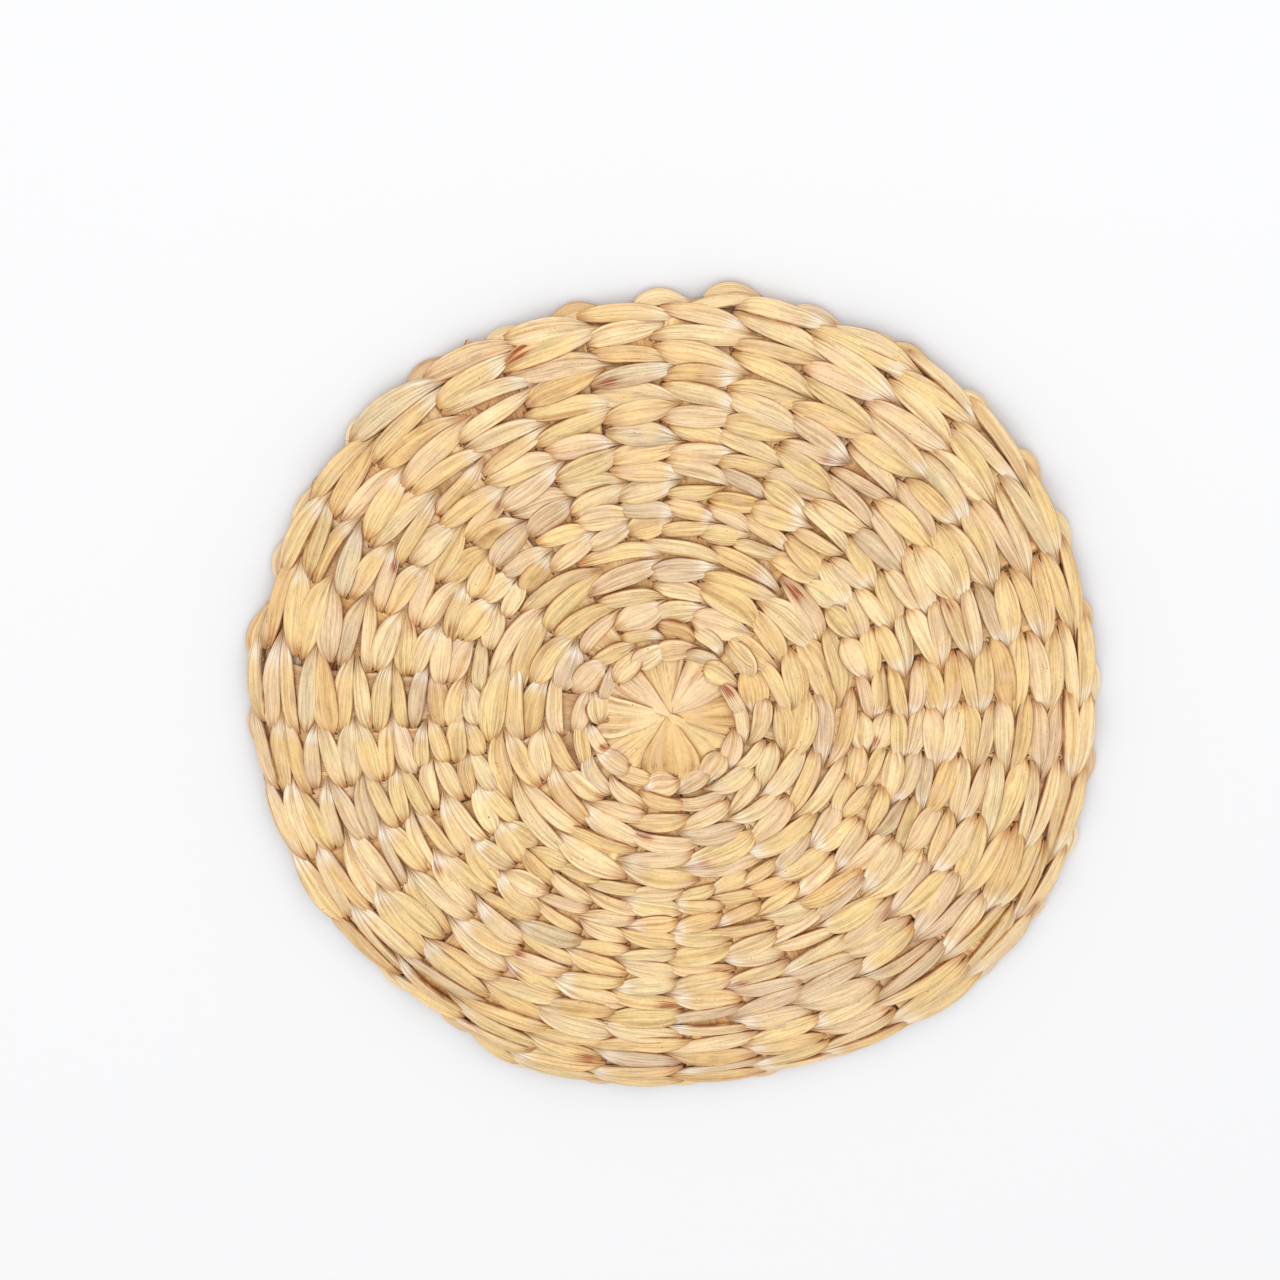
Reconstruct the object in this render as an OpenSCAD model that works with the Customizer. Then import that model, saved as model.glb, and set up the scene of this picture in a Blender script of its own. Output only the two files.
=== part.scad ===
// Round chair seat pad, countertwined from flat dried plant stems.
// Four wide strips cross at the centre. Each of their eight arms is split in two, which gives
// sixteen spokes. Sixteen more spokes are added further out. Twenty rows of weft hold the
// spokes. Every row is a pair of strands twined round each other, one over and one under each
// spoke, and the twist changes direction from row to row. The rim turns down all round, and
// each spoke ends in a hook that is folded under the last two rows.
// The origin is the middle of the plane that the pad rests on, with +Z up.

/* [Pad] */
// Diameter over the folded spoke ends at the rim
pad_d = 370; // [350:1:400]
// Slope that the shallow crown has reached where the rim starts to turn down
crown_slope = 1.6; // [0.5:0.1:3]
// Radius of the bend that turns the rim down
rim_bend = 62; // [54:1:70]
// Angle that the rim is turned down by
rim_turn = 36; // [32:1:46]

/* [Weave] */
// Radius of the bare centre, where the first row of weft starts
centre_r = 29; // [27:0.5:32]
// Radius where the added spokes start and the stitches get short
step_r = 81; // [76:0.5:86]
// Rows of weft between the bare centre and the added spokes
inner_rows = 6; // [5:1:6]
// Rows of weft from the added spokes to the rim
outer_rows = 14; // [12:1:14]

/* [Spokes] */
// Width of one spoke
spoke_w = 5; // [4:0.5:5]
// Thickness of a spoke and of a centre strip
spoke_t = 1.6; // [1.2:0.1:1.6]
// Width of a centre strip where the strips cross
strip_waist = 5; // [4:0.5:6]
// Width of a centre strip where its end is split
strip_w = 16; // [14:0.5:16]

/* [Weft] */
// Thickness of a strand where it lies over a spoke
strand_t = 2.4; // [2:0.1:2.6]
// Height of the inner face of a strand over the middle of a spoke
strand_lift = 2.2; // [2.2:0.1:2.4]
// Width of a strand over a spoke, as a share of the row pitch
strand_share = 0.86; // [0.7:0.02:0.86]

/* [Hidden] */
deg = 180 / PI;
rows = inner_rows + outer_rows;
strips = 4;
inner_columns = 4 * strips;
outer_columns = 2 * inner_columns;

// A strand is pinched to this size where it crosses its partner between two spokes.
cross_t = 1.6;
cross_share = 0.30;
cross_offset = 0.33;

// Clearances: strip over strip at the centre, a level strip past the strips beside it, an added
// spoke past the last inner row, and the hook's bend round the last row.
lay_gap = 0.1;
lay_clear = 0.8;
step_gap = 0.3;
hook_gap = 0.2;

// The spoke runs on past the last row by hook_lead, bends round it in a half circle and comes
// back by hook_back. Where the pad rests, rest_cut is taken off the hook to make a flat.
hook_r = (strand_lift + strand_t + hook_gap + spoke_t / 2) / 2;
hook_lead = 3.2;
hook_back = 14;
hook_step = 15;
rest_cut = 0.5;

// The profile of the pad by arc length s from the centre. A shallow crown runs out to
// crown_end, and a bend of radius rim_bend follows.
end_slope = crown_slope + rim_turn;
rim_arc = rim_bend * rim_turn / deg;
hook_slope = end_slope + hook_lead / rim_bend * deg;
edge = rim_bend * (sin(hook_slope) - sin(crown_slope)) + hook_r + spoke_t / 2
     - hook_r * sin(hook_slope);
crown_end = (pad_d / 2 - edge) * crown_slope / deg / sin(crown_slope);
crown_bend = crown_end / crown_slope * deg;
weft_end = crown_end + rim_arc;

function slope(s) = s < crown_end ? s / crown_bend * deg
                                  : crown_slope + (s - crown_end) / rim_bend * deg;
function reach(s) = s < crown_end
    ? crown_bend * sin(slope(s))
    : crown_bend * sin(crown_slope) + rim_bend * (sin(slope(s)) - sin(crown_slope));
function drop(s) = s < crown_end
    ? crown_bend * (1 - cos(slope(s)))
    : crown_bend * (1 - cos(crown_slope)) + rim_bend * (cos(crown_slope) - cos(slope(s)));

// A point n above the middle surface at arc length s, in the plane of one spoke.
function side_point(s, n) = [reach(s) + n * sin(slope(s)), n * cos(slope(s)) - drop(s)];

// The hook's outer face reaches the lowest point of the pad.
hook_s = weft_end + hook_lead;
function hook_point(a, r) = side_point(hook_s + r * cos(a), r * sin(a) - hook_r);
low = min([for (a = [90 : -hook_step : -90]) hook_point(a, hook_r + spoke_t / 2)[1]]);
middle_z = -low - rest_cut;

// The row pitch, the middle of a row and the columns that it is worked over.
inner_pitch = (step_r - centre_r) / inner_rows;
outer_pitch = (weft_end - step_r) / outer_rows;
function pitch(row) = row <= inner_rows ? inner_pitch : outer_pitch;
function row_s(row) = row <= inner_rows ? centre_r + (row - 0.5) * inner_pitch
                                        : step_r + (row - inner_rows - 0.5) * outer_pitch;
function columns(row) = row <= inner_rows ? inner_columns : outer_columns;
function first_column(row) = row <= inner_rows ? 180 / inner_columns : 0;
function twist(row) = row % 2 == 0 ? 1 : -1;

// A strand is over every second spoke and under the others, so its stations alternate
// between a spoke and a crossing. lie is 1 over a spoke, -1 under it and 0 at a crossing.
function lie(strand, m) = m % 2 == 1 ? 0 : (m / 2 + strand) % 2 == 0 ? 1 : -1;
function shift(row, strand, m) =
    m % 2 == 0 ? 0 : twist(row) * lie(strand, m - 1) * cross_offset * pitch(row);
function half_w(row, m) = pitch(row) / 2 * (m % 2 == 0 ? strand_share : cross_share);
function half_t(m) = (m % 2 == 0 ? strand_t : cross_t) / 2;
function strand_point(row, strand, m, side, face) =
    let (s = row_s(row) + shift(row, strand, m) + side * half_w(row, m))
    let (n = lie(strand, m) * (strand_lift + strand_t / 2) + face * half_t(m))
    let (p = side_point(s, n))
    let (a = first_column(row) + m * 180 / columns(row))
    [p[0] * cos(a), p[0] * sin(a), p[1] + middle_z];

corners = [[-1, -1], [1, -1], [1, 1], [-1, 1]];

// A centre strip is narrow where the strips cross and widens at this slope from waist_r out.
// It stays at the level of its own layer until it is clear of the strips beside it, at lay_flat,
// comes to the middle surface at lay_end and is split at strip_end.
flare = 0.3;
waist_r = 5;
lay_flat = (strip_waist / 2 - flare * waist_r) / (tan(360 / inner_columns) - flare) + lay_clear;
lay_end = centre_r - 9;
strip_end = centre_r - 2;
split_lap = 4;
function two(n) = n < 10 ? str("0", n) : str(n);

// Outline of a spoke seen from the side, from arc length s0 out to the rim, round the last
// row and back under it.
function spoke_outline(s0) =
    let (t = spoke_t / 2)
    let (crown = [for (i = [0 : 4]) s0 + i / 4 * (crown_end - s0)])
    let (bend = [for (i = [1 : 9]) crown_end + i / 9 * (hook_s - crown_end)])
    let (out = concat(crown, bend))
    let (back = [for (i = [1 : 4]) hook_s - i / 4 * hook_back])
    concat(
        [for (s = out) side_point(s, t)],
        [for (a = [90 - hook_step : -hook_step : -90]) hook_point(a, hook_r + t)],
        [for (s = back) side_point(s, -2 * hook_r - t)],
        [for (i = [3 : -1 : 0]) side_point(back[i], -2 * hook_r + t)],
        [for (a = [-90 : hook_step : 90 - hook_step]) hook_point(a, hook_r - t)],
        [for (i = [len(out) - 1 : -1 : 0]) side_point(out[i], -t)]
    );

// One spoke along its own radius, cut flat where it rests.
module spoke(angle, s0)
    rotate([0, 0, angle]) rotate([90, 0, 0])
        linear_extrude(height = spoke_w, center = true)
            intersection() {
                translate([0, middle_z]) polygon(spoke_outline(s0));
                square(pad_d);
            }

// The unsplit part of a centre strip, seen from the side.
function strip_side(layer) =
    let (t = spoke_t / 2)
    let (level = (layer - (strips - 1) / 2) * (spoke_t + lay_gap))
    let (half = [[lay_flat, level], [lay_end, -drop(lay_end)], [strip_end, -drop(strip_end)]])
    let (line = concat([for (i = [2 : -1 : 0]) [-half[i][0], half[i][1]]], half))
    concat([for (p = line) p + [0, t]], [for (i = [5 : -1 : 0]) line[i] - [0, t]]);

// The unsplit part of a centre strip, seen from above.
function strip_plan() =
    let (a = strip_waist / 2, b = strip_w / 2)
    let (wide_r = waist_r + (b - a) / flare)
    let (edge = [[-strip_end, b], [-wide_r, b], [-waist_r, a], [waist_r, a], [wide_r, b],
                 [strip_end, b]])
    concat(edge, [for (i = [5 : -1 : 0]) [edge[i][0], -edge[i][1]]]);

// A centre strip: one stem, gathered where it crosses the others, with each end split in two.
module centre_strip(layer)
    color("#dcb97e")
    rotate([0, 0, layer * 180 / strips])
    union() {
        translate([0, 0, middle_z])
            intersection() {
                rotate([90, 0, 0])
                    linear_extrude(height = 2 * strip_w, center = true)
                        polygon(strip_side(layer));
                linear_extrude(height = strip_w, center = true) polygon(strip_plan());
            }
        for (end = [0, 180]) for (split = [-1, 1])
            spoke(end + split * 180 / inner_columns, strip_end - split_lap);
    }

// A spoke added between two others at the step.
module added_spoke(i)
    color("#d3ad78")
    spoke((i - 1) * 360 / inner_columns, step_r + step_gap);

// One strand of the pair that makes up a row.
module weft(row, strand)
    color(twist(row) > 0 ? "#e3c48c" : "#dfbd86") {
        n = 2 * columns(row);
        points = [
            for (m = [0 : n - 1]) for (c = corners) strand_point(row, strand, m, c[0], c[1])
        ];
        faces = [
            for (m = [0 : n - 1]) for (k = [0 : 3])
                let (here = 4 * m, there = 4 * ((m + 1) % n), next = (k + 1) % 4)
                each [
                    [here + k, here + next, there + next],
                    [here + k, there + next, there + k]
                ]
        ];
        polyhedron(points, faces, convexity = 10);
    }

for (i = [1 : strips])
    centre_strip(i - 1);
for (i = [1 : inner_columns])
    added_spoke(i);
for (i = [1 : rows])
    weft(i, 0);
for (i = [1 : rows])
    weft(i, 1);
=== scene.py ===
"""Round chair seat pad, countertwined from flat dried plant stems.

Every strand, spoke and centre strip of the frame is rebuilt as a flattened, creased stem. The
shape follows the same profile as the frame: a shallow crown, then a bend that turns the rim down.
Lengths are in millimetres until mesh_piece() turns them into metres.
"""
import math

import bpy
import numpy as np
from mathutils import Euler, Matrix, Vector


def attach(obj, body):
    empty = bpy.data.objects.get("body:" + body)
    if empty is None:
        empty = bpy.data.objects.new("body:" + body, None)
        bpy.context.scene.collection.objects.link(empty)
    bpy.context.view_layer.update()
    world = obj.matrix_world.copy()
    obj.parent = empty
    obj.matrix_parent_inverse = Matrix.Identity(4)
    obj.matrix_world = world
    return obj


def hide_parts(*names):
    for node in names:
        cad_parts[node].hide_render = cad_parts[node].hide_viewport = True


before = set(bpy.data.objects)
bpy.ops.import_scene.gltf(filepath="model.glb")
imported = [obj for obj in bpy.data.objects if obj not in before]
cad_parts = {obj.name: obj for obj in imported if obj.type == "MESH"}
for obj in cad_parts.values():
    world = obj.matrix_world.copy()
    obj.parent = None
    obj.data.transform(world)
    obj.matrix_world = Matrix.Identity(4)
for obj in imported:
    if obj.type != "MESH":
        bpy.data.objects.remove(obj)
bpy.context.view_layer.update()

# ---- Driving values ---------------------------------------------------------------------------

MM = 0.001
TAU = 2 * math.pi

# The pad's profile. Radii, bend and slopes are the frame's. The outer rows lie a little further
# apart than the frame's 7.3 mm, and the last two of them are not whole.
CENTRE_R = 29.0
STEP_R = 81.0
RIM_BEND = 62.0
RIM_TURN = math.radians(36)
CROWN_SLOPE = math.radians(1.6)
INNER_ROWS, OUTER_ROWS = 6, 14
ROWS = INNER_ROWS + OUTER_ROWS
INNER_PITCH = (STEP_R - CENTRE_R) / INNER_ROWS
OUTER_PITCH = 7.75
COLUMNS = 32
COLUMN = TAU / COLUMNS
# Where the star centre lies beside the frame's origin, and how high the middle surface is there.
CENTRE = np.array([-3.0, 3.5])
MIDDLE_Z = 20.0

# The last two rows do not go all the way round: where they start and end.
PART_ROWS = {ROWS - 1: np.radians([152, 447]), ROWS: np.radians([227, 425])}
# A part row thins out over this many columns at its ends, to this share of its size, and moves in
# by this many row pitches.
PART_RAMP, PART_THIN, PART_IN = 1.35, 0.25, 1.0
# How much further out the rim lies at every eighth of a turn, where the rows were beaten loosely.
LOOSE = np.array([-3.0, 0.6, 7.8, 10.5, 2.0, 2.8, -1.2, 5.6])
# How far every row, and the rim, wavers in and out.
WAVER = 0.5

# The first row lies closer to the centre, by up to twice this much on one side.
INNER_SHIFT, INNER_SIDE = 2.4, math.radians(70)

# One stitch of weft, from where it comes up to where it goes down, as points along its middle.
# Columns: place along, in columns from the spoke; place across and width, in row pitches; height
# of the middle and thickness; how far it leans and is rounded; steps to the next point.
STITCH = np.array([
    [-0.62, -0.42, 0.74, 0.00, 1.0, 0.0, 2],
    [-0.80, -0.50, 0.24, 0.10, 1.0, 0.5, 2],
    [-0.72, -0.42, 0.24, 1.00, 1.4, 1.0, 2],
    [-0.57, -0.27, 0.52, 1.70, 1.7, 1.0, 3],
    [-0.40, -0.14, 0.90, 2.20, 1.8, 1.0, 3],
    [-0.20, -0.04, 1.11, 2.45, 1.8, 1.0, 3],
    [0.00, 0.02, 1.18, 2.55, 1.9, 1.0, 3],
    [0.22, 0.08, 1.11, 2.50, 1.9, 1.0, 3],
    [0.40, 0.15, 0.88, 2.25, 1.8, 1.0, 3],
    [0.53, 0.22, 0.52, 1.70, 1.8, 1.0, 2],
    [0.58, 0.27, 0.36, 0.90, 1.6, 0.8, 2],
    [0.53, 0.36, 0.70, 0.10, 1.3, 0.3, 2],
])
LEAN = 0.62
# On the left side the stitches were pulled shorter, over a stretch this wide in radians.
SHORT_SIDE, SHORT_BY, SHORT_STRETCH = math.radians(155), 0.07, 0.8
# How far the end of a stitch dips under its neighbour.
TUCK = 0.30

# How much stitches differ in width, length and thickness: the spread, the least and the most.
WIDE, LONG, PLUMP = (0.17, 0.72, 1.35), (0.08, 0.84, 1.16), (0.15, 0.8, 1.4)
# The spread of how high a stitch lies, how far along in columns and across in row pitches, and
# how far it is rolled over.
HIGH, AHEAD, ASIDE, ROLL = 0.30, 0.045, 0.07, math.radians(10)
# The first rows are more uneven than the others, and the first is plumper and narrower.
UNEVEN_ROWS = {1: 2.2, 2: 1.6, 3: 1.3}
FIRST_PLUMP, FIRST_WIDE = 1.22, 0.90

# The stems' section: points round it, its place across and its rise, both from -1 to 1.
AROUND = 30
ROUND = np.arange(AROUND) / AROUND * TAU
# With these powers the section is a flat oval with full edges.
ACROSS = np.sign(np.cos(ROUND)) * np.abs(np.cos(ROUND)) ** 0.80
RISE = np.sign(np.sin(ROUND)) * np.abs(np.sin(ROUND)) ** 0.32

# A spoke: its share of the column, its most width, and the width of its folded end. It is wider
# than a stem, so that the floor does not show between the stitches.
SPOKE_SHARE, SPOKE_W, SPOKE_END_W = 0.97, 34.0, 8.6
# Its thickness, and how much thicker its folded end is.
SPOKE_T, SPOKE_END_T = 1.9, 1.1
# The spread of the ends: how far aside, how far out in mm, and how wide.
END_ASIDE, END_OUT, END_WIDE = 0.10, 0.8, 0.17
# Where the end of a spoke runs, from the edge of the last row: out, up, and columns aside.
SPOKE_END = np.array([
    [-14.0, -0.3, 0.00], [-7.0, -0.7, 0.02], [-3.0, -1.2, 0.10], [-0.9, -1.0, 0.22],
    [0.3, -0.3, 0.36], [0.7, 0.5, 0.50], [0.1, 0.8, 0.63], [-1.6, 0.4, 0.75], [-4.0, -0.6, 0.83],
])
# How the added spokes' colour differs from the weft's: darker and more orange, as painted shade for
# the gaps between the stitches, where they show.
SPOKE_SHADE = (0.98, 0.88, 0.76)
# A spoke sways by this much from side to side on its way out.
SWAY = 1.7

# How high each half of a centre strip lies over its neighbours, anticlockwise from +X.
PETAL_LIFT = np.array([1.1, 1.8, 0.3, 1.0, 2.0, 0.6, 2.6, 0.5])
# How far it is turned, and its width where it goes under the first row.
PETAL_TURN = np.radians([-7, -5, 2, 0, -5, -9, -5, -7])
PETAL_END_W = np.array([20.0, 25.0, 23.0, 19.0, 21.0, 20.0, 24.0, 22.0])
# How much its sides bulge, and how it leans.
PETAL_BULGE = np.array([0.0, 0.1, 0.0, 0.15, 0.1, 0.0, 0.45, 0.1])
PETAL_LEAN = np.radians([4, -3, 2, 5, -3, 3, 1, -5])
# The width and thickness of a strip where the strips cross, and how much thinner it gets.
PETAL_TIP_W, PETAL_T, PETAL_THINNER = 2.4, 2.2, 0.8
# How high one strip lies over the next where they cross.
STRIP_LAYER = 0.5

# Colours of dried stems, linear light: pale gold, straw, pinkish beige, greyish beige, amber.
STEMS = np.array([
    [0.92, 0.655, 0.300],
    [0.97, 0.730, 0.400],
    [0.89, 0.640, 0.375],
    [0.81, 0.610, 0.380],
    [0.86, 0.560, 0.235],
])
STEM_SHARES = [0.42, 0.32, 0.13, 0.06, 0.07]
FIRST_ROW_SHARES = [0.2, 0.2, 0.4, 0.15, 0.05]
# The spread of a stem's brightness and of each of its colours.
TINT_SPREAD, HUE_SPREAD = 0.045, 0.012
# Painted shade: what a fold line, an edge and a tucked tip take away from the colour, for the shade
# in a fold, between neighbouring stems and under a neighbour.
FOLD_DEEP = 0.26
FOLD_SHADE = np.array([0.26, 0.42, 0.58])
EDGE_WIDE = 0.5
EDGE_SHADE = np.array([0.62, 0.84, 0.93])
TUCKED_SHADE = np.array([0.22, 0.43, 0.61])
# The share of stitches that are stained, how strongly, and at which places along them.
STAINED, STAIN_AMOUNT, STAIN_PLACES = 0.07, (0.9, 3.2), [-0.40, 0.34]
# Colours that the material mixes in: stains, creases (partly painted shade), pink and golden
# patches, specks, and a painted highlight.
STAIN = (0.50, 0.17, 0.06, 1.0)
CREASE_BROWN_AND_SHADE = (0.40, 0.19, 0.07, 1)
PINK = (0.75, 0.50, 0.31, 1)
GOLDEN = (0.87, 0.595, 0.25, 1)
SPECK = (0.33, 0.12, 0.035, 1)
GLINT = (0.98, 0.90, 0.76, 1)


def smooth(x):
    x = np.clip(x, 0, 1)
    return x * x * (3 - 2 * x)


def waves(rng, count, low, high):
    """A smooth random function of angle that closes on itself, with values near -1 to 1."""
    freqs = rng.integers(low, high + 1, count)
    phases = rng.uniform(0, TAU, count)
    sizes = rng.uniform(0.5, 1, count)
    sizes /= sizes.sum()
    return lambda a: sum(s * np.sin(f * a + p) for f, p, s in zip(freqs, phases, sizes))


# ---- The surface that the weave follows -------------------------------------------------------

def presence(row, a):
    """1 where a part row lies and 0 where it does not, with a ramp at both ends."""
    start, end = PART_ROWS[row]
    a = np.mod(a - start, TAU)
    ramp = PART_RAMP * COLUMN
    span = end - start
    return smooth(a / ramp) * smooth((span - a) / ramp) * (a < span)


def spread(a):
    """The row pitch at angle a, as a share of the usual one."""
    count = len(LOOSE)
    place = np.mod(a, TAU) / TAU * count
    i = np.floor(place).astype(int)
    part = smooth(place - i)
    loose = (1 - part) * LOOSE[i % count] + part * LOOSE[(i + 1) % count]
    return 1 + loose / (OUTER_ROWS * OUTER_PITCH)


rim_wave = waves(np.random.default_rng(5), 5, 2, 9)


def rim_s(a):
    """Arc length from the centre to the outer edge of the last row at angle a."""
    rows = OUTER_ROWS - 2 + presence(ROWS - 1, a) + presence(ROWS, a)
    return STEP_R + OUTER_PITCH * spread(a) * rows + WAVER * rim_wave(a)


def surface(s, n, a):
    """Points n above the middle surface at arc length s and angle a, with the surface normal."""
    s, n, a = np.broadcast_arrays(*(np.asarray(v, float) for v in (s, n, a)))
    crown_end = rim_s(a) - RIM_BEND * RIM_TURN
    over = np.maximum(s - crown_end, 0)
    slope = CROWN_SLOPE * np.minimum(s / crown_end, 1) + over / RIM_BEND
    flat = np.minimum(s, crown_end)
    reach = flat + RIM_BEND * (np.sin(slope) - math.sin(CROWN_SLOPE)) * (over > 0)
    drop = flat ** 2 / crown_end * CROWN_SLOPE / 2
    drop = drop + RIM_BEND * (math.cos(CROWN_SLOPE) - np.cos(slope)) * (over > 0)
    r = reach + n * np.sin(slope)
    points = np.stack([CENTRE[0] + r * np.cos(a), CENTRE[1] + r * np.sin(a),
                       MIDDLE_Z - drop + n * np.cos(slope)], -1)
    normals = np.stack([np.sin(slope) * np.cos(a), np.sin(slope) * np.sin(a), np.cos(slope)], -1)
    return points, normals


# ---- Meshes -----------------------------------------------------------------------------------

def unit(v):
    return v / np.maximum(np.linalg.norm(v, axis=-1, keepdims=True), 1e-9)


class Shape:
    """Vertices, faces and per-point values of one piece, gathered from several stems."""

    def __init__(self):
        self.points, self.faces, self.tints, self.grains, self.marks = [], [], [], [], []
        self.count = 0

    def add(self, points, faces, tints, grains, marks):
        self.faces += (faces + self.count).tolist()
        self.points.append(points)
        self.tints.append(tints)
        self.grains.append(grains)
        self.marks.append(marks)
        self.count += len(points)


def mesh_piece(name, shape, material, nodes):
    points = np.concatenate(shape.points) * MM
    mesh = bpy.data.meshes.new(name)
    mesh.from_pydata(points.tolist(), [], shape.faces)
    mesh.polygons.foreach_set("use_smooth", np.ones(len(mesh.polygons), bool))
    tint = mesh.attributes.new("tint", "FLOAT_COLOR", "POINT")
    tint.data.foreach_set("color", np.concatenate(shape.tints).astype(np.float32).ravel())
    for kind, values in (("grain", shape.grains), ("marks", shape.marks)):
        attribute = mesh.attributes.new(kind, "FLOAT_VECTOR", "POINT")
        attribute.data.foreach_set("vector", np.concatenate(values).astype(np.float32).ravel())
    mesh.materials.append(material)
    mesh.update()
    piece = bpy.data.objects.new(name, mesh)
    bpy.context.scene.collection.objects.link(piece)
    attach(piece, "root")
    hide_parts(*nodes)
    return piece


class Stem:
    """The stations of one flattened stem: place and frame, size, and what it is like there.

    outer runs from -1 to 1 and says which face is rounded, the lower or the upper one.
    """

    def __init__(self, path, side, width, thick, outer, roll, stem_id, closed=False):
        ahead = np.gradient(path, axis=0)
        if closed:
            ahead = np.roll(path, -1, 0) - np.roll(path, 1, 0)
        ahead = unit(ahead)
        side = unit(side - ahead * np.sum(side * ahead, -1, keepdims=True))
        up = np.cross(side, ahead)
        cos, sin = np.cos(roll)[:, None], np.sin(roll)[:, None]
        self.path, self.side, self.up = path, side * cos + up * sin, up * cos - side * sin
        self.width, self.thick, self.outer = width, thick, outer
        self.flat_width = np.quantile(width, 0.75)
        step = np.linalg.norm(np.diff(path, axis=0, prepend=path[:1]), axis=1)
        self.along, self.stem_id, self.closed = np.cumsum(step), stem_id, closed


def sweep(shape, stem, fold, tint, painted_glint=0.0, crease=0.0, stain=0.0):
    """Sweeps the section along a stem. The values are given for every point round it."""
    count = len(stem.path)
    x = ACROSS * (stem.width / 2)[:, None]
    z = RISE * (stem.thick / 2)[:, None] * (1 + 0.12 * stem.outer[:, None] * np.sign(RISE))
    z = z - np.sign(RISE) * fold * np.abs(RISE) ** 0.7
    points = (stem.path[:, None] + stem.side[:, None] * x[..., None]
              + stem.up[:, None] * z[..., None])
    k = np.arange(AROUND)
    i = np.arange(count if stem.closed else count - 1)[:, None]
    j = (i + 1) % count
    next_k = (k + 1) % AROUND
    corners = (i * AROUND + k, j * AROUND + k, j * AROUND + next_k, i * AROUND + next_k)
    faces = np.stack(np.broadcast_arrays(*corners), -1).reshape(-1, 4)
    tints = np.ones((count, AROUND, 4))
    tints[..., :3] = tint
    # Marks: painted highlight, crease lines and stains.
    marks = np.zeros((count, AROUND, 3))
    marks[..., 0], marks[..., 1], marks[..., 2] = painted_glint, crease, stain
    # The fibres gather where the stem is pinched, so they are counted across its flat width.
    fibre = np.broadcast_to(ACROSS * stem.flat_width / 2 + RISE, x.shape)
    grains = np.stack(np.broadcast_arrays(
        stem.along[:, None], fibre, stem.stem_id[:, None]), -1)
    shape.add(points.reshape(-1, 3), faces, tints.reshape(-1, 4), grains.reshape(-1, 3),
              marks.reshape(-1, 3))


def shade_folds_and_edges(tint, fold, width):
    """A stem's colour with painted shade in its fold lines and along its edges, where it meets its
    neighbours.
    """
    # Painted shade in the fold lines, as deep as the folds are.
    lines = np.clip(fold / FOLD_DEEP, 0, 1)[..., None] * FOLD_SHADE
    half = width[:, None] / 2
    # Painted shade along the edges, where a stem meets its neighbours.
    from_edge = (1 - np.abs(ACROSS)) * half / np.minimum(EDGE_WIDE, 0.3 * half)
    edge_shade = smooth(1 - from_edge)[..., None] * EDGE_SHADE
    return tint[:, None] * (1 - lines) * (1 - edge_shade)


# ---- Weft -------------------------------------------------------------------------------------

rng = np.random.default_rng(41)
spoke_angle = np.arange(COLUMNS) * COLUMN + np.radians(rng.normal(0, 0.75, COLUMNS))
spoke_sway = rng.uniform(14, 24, COLUMNS), rng.uniform(0, TAU, COLUMNS)
row_waves = [waves(rng, 4, 2, 8) for _ in range(ROWS + 1)]


def row_s(row, a):
    """Arc length from the centre to the middle of a row."""
    if row <= INNER_ROWS:
        closer = INNER_SHIFT * (1 + np.cos(a - INNER_SIDE)) * (1 - (row - 0.5) / INNER_ROWS)
        s = CENTRE_R + (row - 0.5) * INNER_PITCH - closer
    elif row < ROWS:
        s = STEP_R + (row - INNER_ROWS - 0.5) * OUTER_PITCH * spread(a)
    else:
        s = STEP_R + (OUTER_ROWS - 1.5 + presence(ROWS - 1, a)) * OUTER_PITCH * spread(a)
    return s + WAVER * row_waves[row](a)


def spoke_at(k, s):
    """Angle at which spoke k lies at arc length s."""
    length, phase = spoke_sway[0][k], spoke_sway[1][k]
    return spoke_angle[k] + SWAY * np.sin(s / length + phase) / np.maximum(s, CENTRE_R)


def row_columns(row):
    """Angles of the spokes that a row is worked over, in order."""
    k = np.arange(1, COLUMNS, 2) if row <= INNER_ROWS else np.arange(COLUMNS)
    return spoke_at(k, row_s(row, k * COLUMN))


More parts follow.
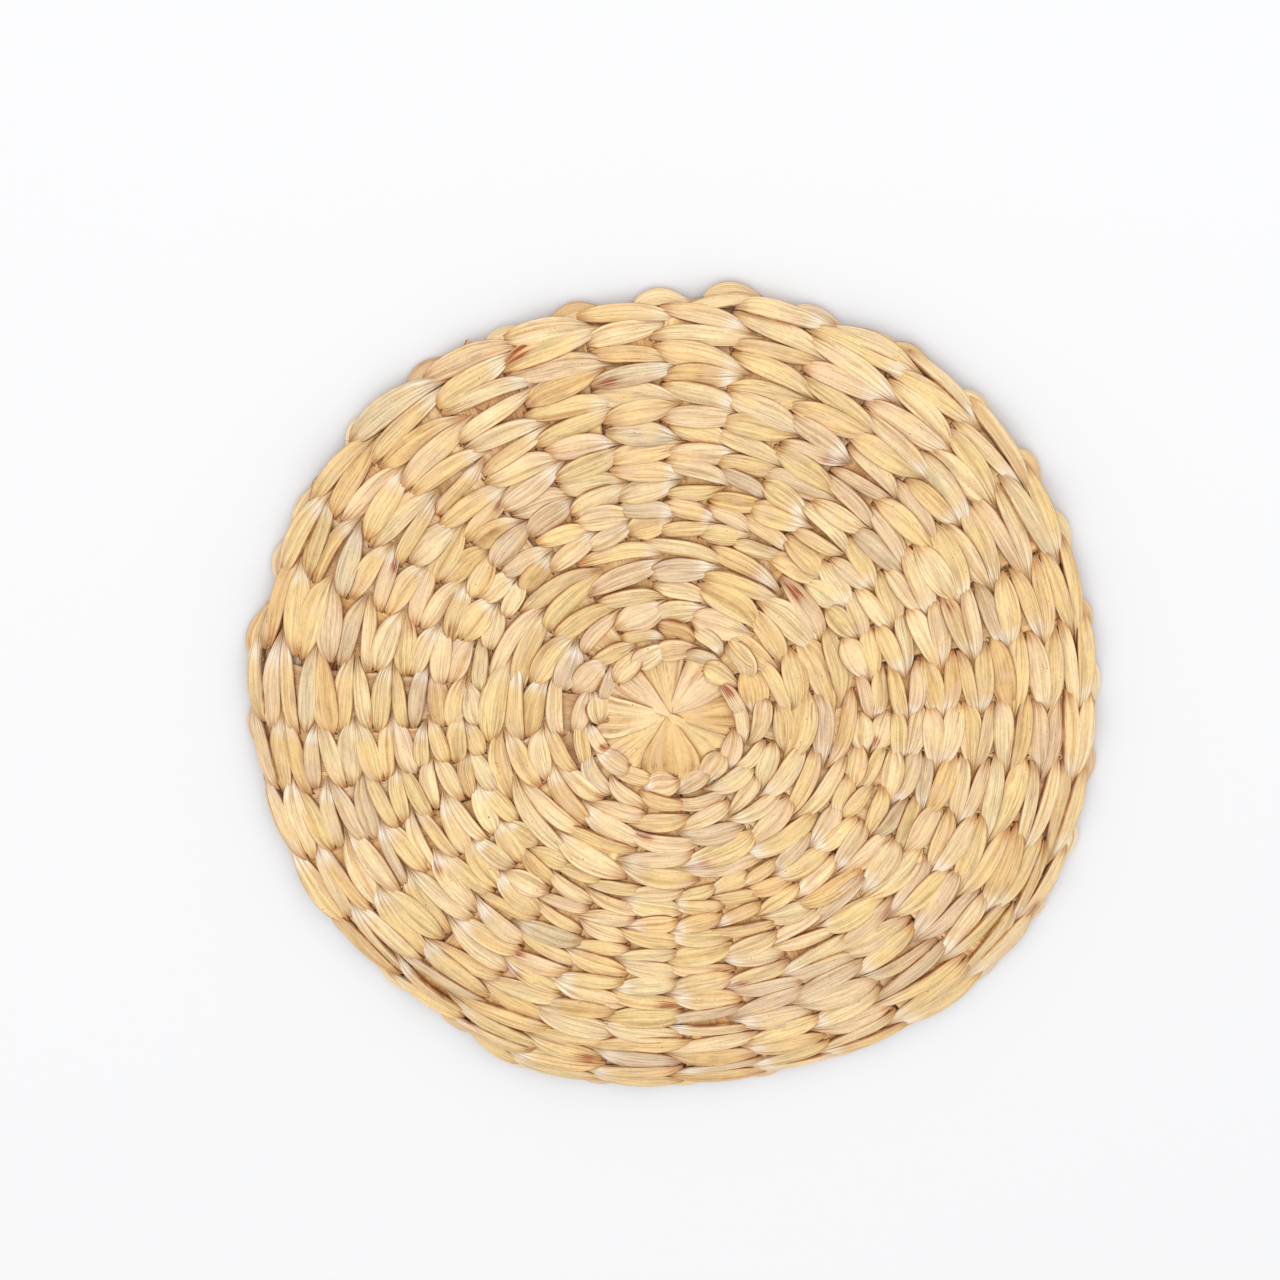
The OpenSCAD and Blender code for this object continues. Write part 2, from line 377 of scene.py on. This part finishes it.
def strand_stations(row, number, rng):
    """The stations along one strand, and the stitch that each of them is on.

    Each station has an arc length, angle, height, width, thickness, lean, which face is rounded,
    how full the stem is there (0 where it is pinched), roll, and place along the stitch.
    """
    columns = row_columns(row)
    n = len(columns)
    closed = row not in PART_ROWS
    stitches = np.arange(n)
    if not closed:
        start, end = (v / COLUMN for v in PART_ROWS[row])
        stitches = np.arange(math.ceil(start), math.floor(end) + 1)
    here = np.mod(columns[stitches % n], TAU)[:, None]
    pitch = INNER_PITCH if row <= INNER_ROWS else OUTER_PITCH * spread(here)
    twist = 1 if row % 2 == 0 else -1
    top = np.where((stitches + number) % 2 == 0, 1, -1)[:, None]

    def differ(amount, low=-9.0, high=9.0, middle=1.0):
        amount = amount * UNEVEN_ROWS.get(row, 1.0)
        return np.clip(rng.normal(middle, amount, n), low, high)[stitches % n, None]

    along, across, width, height, thick, keep, steps = STITCH.T
    body = width / width.max()
    wide, long, plump = differ(*WIDE), differ(*LONG), differ(*PLUMP)
    high, ahead = differ(HIGH, middle=0), differ(AHEAD, middle=0)
    aside = differ(ASIDE, middle=0) * body
    roll = differ(ROLL, middle=0)
    if row == 1:
        plump, wide = plump * FIRST_PLUMP, wide * FIRST_WIDE

    pulled = np.exp(-((here - SHORT_SIDE) / SHORT_STRETCH) ** 2) * (row > INNER_ROWS)
    place = stitches[:, None] + along * long * (1 - SHORT_BY * pulled) + ahead * body
    tuck = TUCK * twist * smooth((along - 0.1) / 0.3)
    height = top * (height + (high - tuck) * body)
    width = pitch * width * (1 + (wide - 1) * body)
    thick = thick * (1 + (plump - 1) * body)
    if not closed:
        full = smooth(np.minimum(place - start, end - place) / PART_RAMP)
        size = PART_THIN + (1 - PART_THIN) * full
        width, height, thick = width * size, height * size, thick * size
        aside = aside - PART_IN * (1 - full)

    laps = np.floor(place / n)
    marks = np.append(columns, columns[0] + TAU)
    a = np.interp(place - laps * n, np.arange(n + 1), marks) + laps * TAU
    s = row_s(row, a) + pitch * (twist * top * across + aside)
    radius = path_radius(surface(s, 0, a)[0])
    lean = twist * top * keep * np.arctan(LEAN * pitch / (radius * TAU / n))

    values = np.stack(np.broadcast_arrays(
        s, a, height, width, thick, lean, top * keep, body, roll * body, along), -1)
    values = values.reshape(-1, values.shape[-1])
    values = curve(values, np.tile(steps.astype(int), len(stitches)), closed)
    which = np.repeat(np.arange(len(stitches)), int(steps.sum()))[:len(values)]
    return values.T, which


def strand_stem(row, number, stations, which, rng):
    """The stem of a strand, laid along its stations."""
    s, a, height, width, thick, lean, outer, _, roll, _ = stations
    path, normal = surface(s, height, a)
    circle = np.stack([-np.sin(a), np.cos(a), 0 * a], -1)
    outward = np.cross(circle, normal)
    side = outward * np.cos(lean)[:, None] - circle * np.sin(lean)[:, None]
    stem_id = rng.uniform(0, 1, which[-1] + 1)[which] + row * 2 + number
    return Stem(path, side, width, thick, outer, roll, stem_id, row not in PART_ROWS)


def strand_folds(body, pinched, which, rng):
    """Depth of the folds that run along a strand, and of the gathers at its pinched ends."""
    count = which[-1] + 1
    fold = lines_across(rng, count, 4, which) * body ** 0.3
    gathers = rng.uniform(7, 13, (count, 1))[which]
    gather_at = rng.uniform(0, TAU, (count, 1))[which]
    return fold + 0.58 * pinched * (0.5 + 0.5 * np.cos(gathers * ACROSS + gather_at)) ** 4


def strand_colour(row, fold, width, phase, which, rng):
    """A strand's colour: one tint for each stitch, with painted shade in its folds, along its edges
    and where it is tucked in.
    """
    count = which[-1] + 1
    shares = STEM_SHARES if row > 1 else FIRST_ROW_SHARES
    tint = STEMS[rng.choice(len(STEMS), count, p=shares)]
    tint = tint * rng.normal(1, TINT_SPREAD, (count, 1)) * rng.normal(1, HUE_SPREAD, (count, 3))
    # Painted shade at the ends, where the stem goes down under its neighbour and, less, where it
    # comes up.
    going_down = smooth((phase - 0.36) / 0.20)[:, None, None]
    coming_up = smooth((-0.50 - phase) / 0.20)[:, None, None]
    return shade_folds_and_edges(tint[which], fold, width) * (1 - TUCKED_SHADE * (going_down + 0.7 * coming_up))


def strand_stains(phase, which, rng):
    """How much a strand is stained. A few stitches are, at one end."""
    count = which[-1] + 1
    stained = (rng.random(count) < STAINED) * rng.uniform(*STAIN_AMOUNT, count)
    stain_at = rng.choice(STAIN_PLACES, count)[which]
    stain_x = rng.uniform(-0.7, 0.7, (count, 1))[which]
    amount = stained[which] * np.exp(-((phase - stain_at) / 0.15) ** 2)
    return amount[:, None] * np.exp(-((ACROSS - stain_x) / 0.45) ** 2)


def strand(row, number, material):
    """One of a row's two strands: over every second spoke and under those between."""
    rng = np.random.default_rng(1000 + row * 10 + number)
    stations, which = strand_stations(row, number, rng)
    width, body, phase = stations[3], stations[7], stations[9]
    body = np.clip(body, 0, 1)[:, None]
    pinched = np.clip(1.5 * (1 - body), 0, 1)
    stem = strand_stem(row, number, stations, which, rng)
    fold = strand_folds(body, pinched, which, rng)
    colour = strand_colour(row, fold, width, phase, which, rng)
    stains = strand_stains(phase, which, rng)
    # Where a stem is pinched as it comes up, it gets a painted highlight and a smoother surface.
    glint_share = rng.uniform(-0.2, 1.0, which[-1] + 1).clip(0)[which]
    glint_share = glint_share * np.exp(-((phase + 0.48) / 0.14) ** 2)
    shape = Shape()
    sweep(shape, stem, fold, colour, glint_share[:, None], pinched, stains)
    name = f"weft_{row:02d}_{'ab'[number]}"
    return mesh_piece("straw_" + name, shape, material, [name])


def lines_across(rng, count, lines, which):
    """Depth of random fold lines at every point round the section, for each station."""
    place = rng.uniform(-0.9, 0.9, (count, lines))
    depth = rng.uniform(0.05, FOLD_DEEP, (count, lines)) * (rng.random((count, lines)) < 0.5)
    breadth = rng.uniform(0.06, 0.16, (count, lines))
    gap = (ACROSS[:, None] - place[:, None]) / breadth[:, None]
    return np.sum(depth[:, None] * np.exp(-gap ** 2), -1)[which]


def curve(values, steps, closed):
    """Catmull-Rom through rows of values, with a number of steps after each row.

    The second value is an angle, which gains a whole turn over one closed round.
    """
    before, after, later = (np.roll(values, k, 0) for k in (1, -1, -2))
    if closed:
        before[0, 1] -= TAU
        after[-1, 1] += TAU
        later[-2:, 1] += TAU
    else:
        before[0] = values[0]
        after[-1] = later[-1] = later[-2] = values[-1]
    i = np.repeat(np.arange(len(values)), steps)
    f = np.concatenate([np.arange(k) / k for k in steps])[:, None]
    if not closed:
        i, f = i[:-steps[-1]], f[:-steps[-1]]
    p0, p1, p2, p3 = before[i], values[i], after[i], later[i]
    return 0.5 * (2 * p1 + (p2 - p0) * f + (2 * p0 - 5 * p1 + 4 * p2 - p3) * f ** 2
                  + (3 * p1 - p0 - 3 * p2 + p3) * f ** 3)


# ---- Spokes and centre ------------------------------------------------------------------------

def spoke_stem(shape, k, start_s, rng, start_shift=0.0):
    """One spoke, out from arc length start_s. Its end is turned aside along the rim, lies as a
    lobe outside the last row and is tucked in."""
    edge = float(rim_s(spoke_angle[k] + 0.4 * COLUMN))
    knots = np.array([[start_s, 0.0, start_shift], [start_s + 10, 0.5, 0.0], [edge - 20, 0.5, 0.0]])
    end = SPOKE_END * [1, 1, rng.normal(1, END_ASIDE)]
    end = end + [edge + rng.normal(0, END_OUT), 0, 0]
    knots = np.concatenate([knots, end])
    steps = np.array([3, 12] + [8] * (len(knots) - 2)) // 1
    s, a, n = curve(knots[:, [0, 2, 1]] * [1, COLUMN, 1], steps, False).T
    a = a + spoke_at(k, s)
    path, normal = surface(s, n, a)
    # Inside the step only every second column has a spoke, so there is twice the room.
    column_mm = path_radius(path) * COLUMN * (1 + (start_s < STEP_R) * (s < STEP_R - 2))
    # A wide spoke is narrow before the nearest part of the rim beside it, so no corner sticks out.
    nearest_edge = rim_s(spoke_angle[k] + np.array([-0.5, 0.0, 0.5]) * COLUMN).min()
    ending = smooth((s - nearest_edge + 10) / 6.5)
    width = np.minimum(SPOKE_SHARE * column_mm, SPOKE_W)
    lobe = np.sin(np.clip((np.arange(len(s)) / len(s) - 0.55) / 0.45, 0, 1) * math.pi)
    end_width = SPOKE_END_W * rng.normal(1, END_WIDE) * (0.40 + 0.60 * lobe)
    width = width + (end_width - width) * ending
    side = np.cross(normal, np.gradient(path, axis=0))
    stem = Stem(path, side, width, SPOKE_T + SPOKE_END_T * ending, 0.4 + 0 * s, 0 * s,
                np.full(len(s), 60.0 + k + rng.random()))
    ribs = 0.5 + 0.5 * np.cos(1.9 * width[:, None] * ACROSS + rng.uniform(0, TAU))
    fold = 0.28 * ribs * (1 - ending[:, None]) + lines_across(rng, 1, 6, np.zeros(len(s), int))
    tint = STEMS[rng.choice([0, 0, 1, 2])] * rng.normal(1.0, 0.04)
    # The folded ends are lighter. On an added spoke, that takes back part of its painted shade.
    tint = tint * (1 + ending[:, None] * (0.4 / np.array(SPOKE_SHADE) - 0.4))
    colour = shade_folds_and_edges(tint, fold, width)
    # The folded end gets a little painted highlight, and crease lines run all along the spoke.
    sweep(shape, stem, fold, colour, 0.2 * ending[:, None], 0.6)


def path_radius(path):
    return np.hypot(path[..., 0] - CENTRE[0], path[..., 1] - CENTRE[1])


def centre_band(shape, number, rng):
    """A centre strip up to its splits: pinched where the strips cross, wide at both ends."""
    angle = 4 * number * COLUMN
    half = CENTRE_R + 2.0
    s = np.linspace(-half, half, 140)
    away = np.abs(s)
    petal = np.where(s > 0, number, number + 4)
    out = smooth((away - 2) / 8) * (1 - smooth((away - 20) / 9))
    level = STRIP_LAYER * (number - 1.5) * (1 - smooth((away - 3) / 7)) + PETAL_LIFT[petal] * out
    turned = angle + PETAL_TURN[petal] * smooth(away / 6)
    path, _ = surface(s, level + 0.7, turned)
    width = PETAL_TIP_W + (PETAL_END_W[petal] - PETAL_TIP_W) * np.clip(away / 26, 0, 1)
    width = width * (1 + PETAL_BULGE[petal] * np.sin(np.clip(away / 27, 0, 1) * math.pi))
    circle = np.stack([-np.sin(turned), np.cos(turned), 0 * s], -1)
    roll = PETAL_LEAN[petal] * out
    stem = Stem(path, circle, width, PETAL_T - PETAL_THINNER * smooth(away / 12), 0 * s, roll,
                100.0 + petal + rng.random())
    # A strip has fewer and broader fibres than its width would give.
    stem.flat_width *= 0.45
    side = (s > 0).astype(int)
    fold = 0.5 * lines_across(rng, 2, 3, side) * smooth((away - 5) / 16)[:, None]
    # Pleats where the strip is gathered under the first row.
    gathered = smooth((away - 8) / 16)[:, None]
    pleats = 0.5 + 0.5 * np.cos(rng.uniform(13, 17) * ACROSS + rng.uniform(0, TAU))
    fold = fold + 0.28 * pleats ** 4 * gathered
    tints = STEMS[rng.choice([0, 0, 1, 2, 4], 2)] * rng.normal(0.98, 0.05, (2, 1))
    sweep(shape, stem, fold, shade_folds_and_edges(tints[side], fold, width), crease=gathered)


def centre_strip(number, material):
    rng = np.random.default_rng(300 + number)
    shape = Shape()
    centre_band(shape, number, rng)
    for end in (0, COLUMNS // 2):
        for split in (-1, 1):
            k = (4 * number + end + split) % COLUMNS
            spoke_stem(shape, k, CENTRE_R - 6, rng, -split * 0.25)
    name = f"centre_strip_{number + 1}"
    return mesh_piece("straw_" + name, shape, material, [name])


def added_spoke(number, material):
    rng = np.random.default_rng(400 + number)
    shape = Shape()
    spoke_stem(shape, 2 * number, STEP_R - 5, rng)
    name = f"added_spoke_{number + 1:02d}"
    return mesh_piece("straw_" + name, shape, material, [name])


# ---- Materials --------------------------------------------------------------------------------

class Tree:
    """A material's nodes, with short ways to add noise, ramps and mixes."""

    def __init__(self, material):
        material.use_nodes = True
        self.nodes, self.links = material.node_tree.nodes, material.node_tree.links
        self.nodes.clear()

    def attribute(self, name):
        node = self.nodes.new("ShaderNodeAttribute")
        node.attribute_name = name
        return node.outputs

    def noise(self, vector, stretch, detail):
        """Noise with detail, in a vector that is first stretched along each of its values."""
        mul = self.nodes.new("ShaderNodeVectorMath")
        mul.operation = "MULTIPLY"
        mul.inputs[1].default_value = stretch
        self.links.new(vector, mul.inputs[0])
        noise = self.nodes.new("ShaderNodeTexNoise")
        noise.inputs["Scale"].default_value = 1.0
        noise.inputs["Detail"].default_value = detail
        self.links.new(mul.outputs[0], noise.inputs["Vector"])
        return noise.outputs["Fac"]

    def ramp(self, value, *stops):
        """Shades of grey between stops, each a place and a shade."""
        node = self.nodes.new("ShaderNodeValToRGB")
        while len(node.color_ramp.elements) < len(stops):
            node.color_ramp.elements.new(0.5)
        for element, (place, shade) in zip(node.color_ramp.elements, stops):
            element.position = place
            element.color = (shade, shade, shade, 1)
        self.links.new(value, node.inputs[0])
        return node.outputs[0]

    def mix(self, kind, fac, a, b):
        node = self.nodes.new("ShaderNodeMix")
        node.data_type = "RGBA"
        node.blend_type = kind
        for socket, value in ((node.inputs[0], fac), (node.inputs[6], a), (node.inputs[7], b)):
            if isinstance(value, (int, float, tuple)):
                socket.default_value = value
            else:
                self.links.new(value, socket)
        return node.outputs[2]

    def times(self, a, b):
        return self.mix("MULTIPLY", 1.0, a, b)


def straw(name, shade_tone=(1.0, 1.0, 1.0), streaks=1.0):
    """Dried stem: fibres along its length, broad streaks, crease lines that are partly painted
    shade, a few stains and specks, and a painted highlight where it is pinched. A shade tone, when
    given, is painted shade over the whole.
    """
    mat = bpy.data.materials.new(name)
    tree = Tree(mat)
    nodes, links = tree.nodes, tree.links
    out = nodes.new("ShaderNodeOutputMaterial")
    bsdf = nodes.new("ShaderNodeBsdfPrincipled")
    links.new(bsdf.outputs[0], out.inputs[0])
    mark = nodes.new("ShaderNodeSeparateXYZ")
    links.new(tree.attribute("marks")["Vector"], mark.inputs[0])
    glint_mark, crease, stained = mark.outputs

    # The grain runs along the stem, across it, and from stem to stem.
    grain = tree.attribute("grain")["Vector"]
    fine = tree.noise(grain, (0.05, 1.7, 9.7), 5)
    lines = tree.noise(grain, (0.025, 0.9, 5.9), 3)
    broad = tree.noise(grain, (0.05, 0.45, 5.3), 2)
    patches = tree.noise(grain, (0.07, 0.25, 8.3), 1)
    cloud = tree.noise(grain, (0.10, 0.18, 3.1), 2)
    spots = tree.noise(grain, (0.55, 0.9, 7.7), 3)

    colour = tree.attribute("tint")["Color"]
    colour = tree.times(colour, tree.ramp(fine, (0.38, 1 - 0.28 * streaks), (0.53, 1.03)))
    colour = tree.times(colour, tree.ramp(broad, (0.30, 1 - 0.08 * streaks), (0.60, 1.02)))
    colour = tree.times(colour, tree.ramp(spots, (0.38, 0.92), (0.60, 1.03)))

    # Dark crease lines, in some patches and wherever a stem is pinched: partly the creases' own
    # brown and partly painted shade in them.
    creased = tree.ramp(patches, (0.44, 0.0), (0.60, 0.8 * streaks))
    creased = tree.mix("SCREEN", 1.0, creased, crease)
    dark = tree.times(tree.ramp(lines, (0.465, 0.0), (0.50, 0.75), (0.535, 0.0)), creased)
    colour = tree.mix("MIX", dark, colour, CREASE_BROWN_AND_SHADE)

    for value, stops, shade in (
            (cloud, ((0.53, 0.0), (0.70, 0.5)), PINK),
            (cloud, ((0.30, 0.5), (0.47, 0.0)), GOLDEN),
            (spots, ((0.69, 0.0), (0.75, 0.8)), SPECK)):
        colour = tree.mix("MIX", tree.ramp(value, *stops), colour, shade)
    stain = tree.times(stained, tree.ramp(fine, (0.40, 1.0), (0.62, 0.15)))
    colour = tree.mix("MULTIPLY", stain, colour, STAIN)
    # Painted highlight where a stem is pinched; it is also smoother there.
    painted_glint = tree.times(glint_mark, tree.ramp(fine, (0.42, 0.15), (0.60, 1.0)))
    colour = tree.mix("MIX", painted_glint, colour, GLINT)
    # Painted shade over the whole stem when a shade tone is given, as on the added spokes.
    colour = tree.times(colour, (*shade_tone, 1))
    links.new(colour, bsdf.inputs["Base Color"])

    rough = tree.mix("MIX", painted_glint, tree.ramp(fine, (0.3, 0.60), (0.7, 0.42)), (0.28, 0.28, 0.28, 1))
    links.new(rough, bsdf.inputs["Roughness"])
    bsdf.inputs["Specular IOR Level"].default_value = 0.5
    bump = nodes.new("ShaderNodeBump")
    bump.inputs["Strength"].default_value = 0.8
    bump.inputs["Distance"].default_value = 0.30 * MM
    height = tree.mix("SUBTRACT", 0.5, tree.mix("MIX", 0.12, fine, broad), dark)
    links.new(height, bump.inputs["Height"])
    links.new(bump.outputs[0], bsdf.inputs["Normal"])
    return mat


# ---- Build ------------------------------------------------------------------------------------

weft_mat = straw("weft_straw")
# The added spokes' straw is darker, as painted shade for the gaps where they show.
spoke_shaded_mat = straw("spoke_straw", SPOKE_SHADE)
centre_mat = straw("centre_straw", streaks=0.45)
for row in range(1, ROWS + 1):
    for number in (0, 1):
        strand(row, number, weft_mat)
for number in range(4):
    centre_strip(number, centre_mat)
for number in range(16):
    added_spoke(number, spoke_shaded_mat)

# ---- Floor, light and camera ------------------------------------------------------------------

# In metres. Half the floor's side, the camera's distance from its target, the width that it sees
# at that distance, and its sensor in millimetres.
FLOOR_HALF = 4.0
DISTANCE, SEEN_WIDTH, SENSOR = 1.25, 0.554, 36
TARGET = (-0.0116, 0.0358, 0.012)
TILT, TURN = math.radians(19.5), math.radians(-7.25)


def floor():
    mesh = bpy.data.meshes.new("floor")
    half = FLOOR_HALF
    mesh.from_pydata([(-half, -half, 0), (half, -half, 0), (half, half, 0), (-half, half, 0)],
                     [], [(0, 1, 2, 3)])
    mat = bpy.data.materials.new("floor")
    mat.use_nodes = True
    bsdf = mat.node_tree.nodes["Principled BSDF"]
    bsdf.inputs["Base Color"].default_value = (0.83, 0.83, 0.835, 1)
    bsdf.inputs["Roughness"].default_value = 0.9
    mesh.materials.append(mat)
    obj = bpy.data.objects.new("floor", mesh)
    bpy.context.scene.collection.objects.link(obj)


def area_light(name, place, target, size, power, colour=(1, 1, 1)):
    data = bpy.data.lights.new(name, "AREA")
    data.shape = "DISK"
    data.size = size
    data.energy = power
    data.color = colour
    obj = bpy.data.objects.new(name, data)
    obj.location = place
    direction = np.array(target) - np.array(place)
    obj.rotation_mode = "QUATERNION"
    obj.rotation_quaternion = Vector(direction).to_track_quat("-Z", "Y")
    bpy.context.scene.collection.objects.link(obj)


def camera(tilt, turn, distance, lens, target):
    """Looks down at the pad. tilt is away from straight down, turn swings it round the pad."""
    data = bpy.data.cameras.new("camera")
    data.lens = lens
    data.sensor_width = SENSOR
    data.clip_end = 20
    obj = bpy.data.objects.new("camera", data)
    look = Euler((-tilt, 0, 0)).to_matrix()
    spin = Euler((0, 0, turn)).to_matrix()
    turned = spin @ look
    obj.rotation_euler = turned.to_euler()
    obj.location = Vector(target) + turned @ Vector((0, 0, distance))
    bpy.context.scene.collection.objects.link(obj)
    bpy.context.scene.camera = obj


floor()
world = bpy.data.worlds.new("world")
bpy.context.scene.world = world
world.use_nodes = True
sky = world.node_tree.nodes["Background"]
sky.inputs["Color"].default_value = (0.985, 0.99, 1.0, 1)
sky.inputs["Strength"].default_value = 0.90
area_light("key", (-0.80, -0.05, 2.3), (0, 0, 0), 2.6, 12, (1.0, 0.99, 0.97))
area_light("fill", (0.7, 1.3, 1.5), (0, 0, 0), 2.0, 9, (0.98, 0.99, 1.0))
bpy.context.scene.view_settings.view_transform = "Standard"

camera(TILT, TURN, DISTANCE, SENSOR * DISTANCE / SEEN_WIDTH, TARGET)
